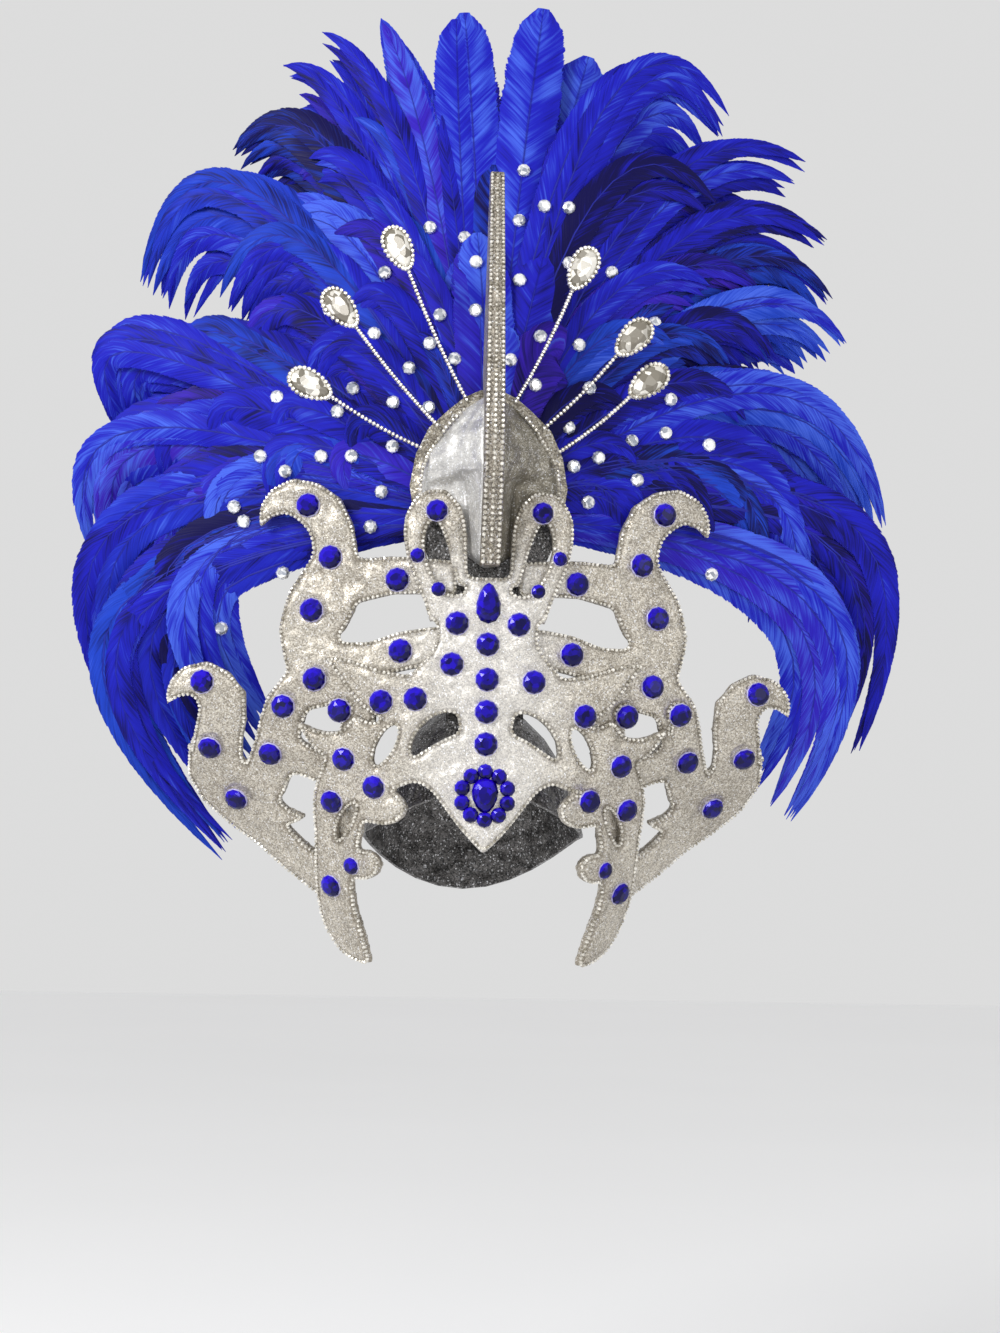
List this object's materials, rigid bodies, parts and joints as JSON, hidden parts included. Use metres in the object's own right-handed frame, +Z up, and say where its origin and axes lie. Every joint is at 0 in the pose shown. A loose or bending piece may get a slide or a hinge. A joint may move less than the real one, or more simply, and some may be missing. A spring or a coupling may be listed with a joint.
{
  "type": "feather headdress",
  "caption": "Showgirl headdress: pierced silver glitter front with scrolls, a keeled crest and fin, blue stones, crystal sprays and a fan of drooping blue plumes.",
  "frame": {"origin": "middle of the head opening, a little above the wearer's brow", "axes": "+Z up through the crest, the front looks along -Y, +X to the viewer's right when facing the front"},
  "size_m": [0.6015, 0.2494, 0.6784],
  "materials": {
    "glitter_foam": "silver champagne glitter cloth over foam",
    "dark_glitter": "dark grey glitter cloth over a stiff cap",
    "cup_chain": "small clear stones in silver cups",
    "blue_stone": "royal blue faceted acrylic",
    "clear_stone": "clear foiled faceted acrylic",
    "plume": "royal blue dyed feathers"
  },
  "bodies": {
    "root": {"cap_and_board": "dark_glitter", "front_panel": "glitter_foam", "front_panel_chain": "cup_chain", "scroll_left": "glitter_foam", "scroll_right": "glitter_foam", "scroll_chain_left": "cup_chain", "scroll_chain_right": "cup_chain", "crest_shield": "glitter_foam", "crest_chain_left": "cup_chain", "crest_chain_right": "cup_chain", "crest_fin": "glitter_foam", "crest_fin_chain": "cup_chain", "forehead_brooch": "blue_stone", "front_drop_stone": "blue_stone", "front_stone_1": "blue_stone", "front_stone_2": "blue_stone", "front_stone_3": "blue_stone", "front_stone_4": "blue_stone", "front_stone_5": "blue_stone", "front_stone_6": "blue_stone", "front_stone_7": "blue_stone", "front_stone_8": "blue_stone", "front_stone_9": "blue_stone", "front_stone_10": "blue_stone", "front_stone_11": "blue_stone", "front_stone_12": "blue_stone", "front_stone_13": "blue_stone", "front_stone_14": "blue_stone", "front_stone_15": "blue_stone", "front_stone_16": "blue_stone", "front_stone_17": "blue_stone", "front_stone_18": "blue_stone", "front_stone_19": "blue_stone", "front_stone_20": "blue_stone", "front_stone_21": "blue_stone", "loop_head_stone_left": "blue_stone", "loop_neck_stone_left": "blue_stone", "loop_foot_stone_left": "blue_stone", "loop_head_stone_right": "blue_stone", "loop_neck_stone_right": "blue_stone", "loop_foot_stone_right": "blue_stone", "spray_left_1": "cup_chain", "spray_left_2": "cup_chain", "spray_left_3": "cup_chain", "spray_right_1": "cup_chain", "spray_right_2": "cup_chain", "spray_right_3": "cup_chain", "spray_crystal_left_1": "clear_stone", "spray_crystal_left_2": "clear_stone", "spray_crystal_left_3": "clear_stone", "spray_crystal_right_1": "clear_stone", "spray_crystal_right_2": "clear_stone", "spray_crystal_right_3": "clear_stone", "plume_low_left": "plume", "plume_left": "plume", "plume_crown": "plume", "plume_right": "plume", "plume_low_right": "plume"}
  },
  "joints": []
}
